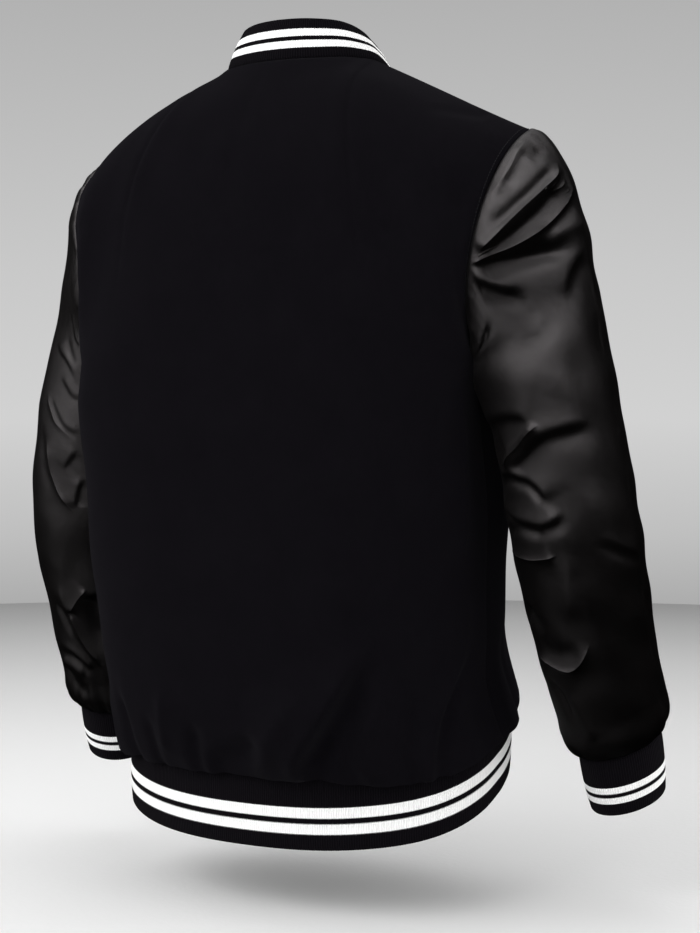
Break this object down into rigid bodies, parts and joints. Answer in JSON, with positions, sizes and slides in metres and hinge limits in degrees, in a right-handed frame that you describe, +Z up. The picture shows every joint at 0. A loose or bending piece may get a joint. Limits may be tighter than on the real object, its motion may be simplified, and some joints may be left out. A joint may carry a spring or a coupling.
{
  "type": "varsity jacket",
  "caption": "Hip-length jacket with set-in sleeves, a stand-up rib collar, rib cuffs and hem band, and a lapped front with snap caps, in its worn shape.",
  "frame": {"origin": "middle of the neck hole, level with the highest points of the shoulders, where the wearer holds the garment up", "axes": "+X to the wearer's left, +Y to the back, +Z up"},
  "size_m": [0.6212, 0.2866, 0.7108],
  "materials": {
    "body_wool": "matte black brushed woven cloth",
    "sleeve_cloth": "glossy black coated cloth, creased",
    "rib_knit": "matte black rib knit with two white stripes round each band",
    "snap_metal": "black coated metal snap caps"
  },
  "bodies": {
    "root": {"back": "body_wool", "front_left": "body_wool", "front_right": "body_wool", "sleeve_left": "sleeve_cloth", "sleeve_right": "sleeve_cloth", "cuff_left": "rib_knit", "cuff_right": "rib_knit", "collar": "rib_knit", "hem_rib": "rib_knit", "snap_1": "snap_metal", "snap_2": "snap_metal", "snap_3": "snap_metal", "snap_4": "snap_metal", "snap_5": "snap_metal", "snap_6": "snap_metal", "snap_7": "snap_metal"}
  },
  "joints": []
}
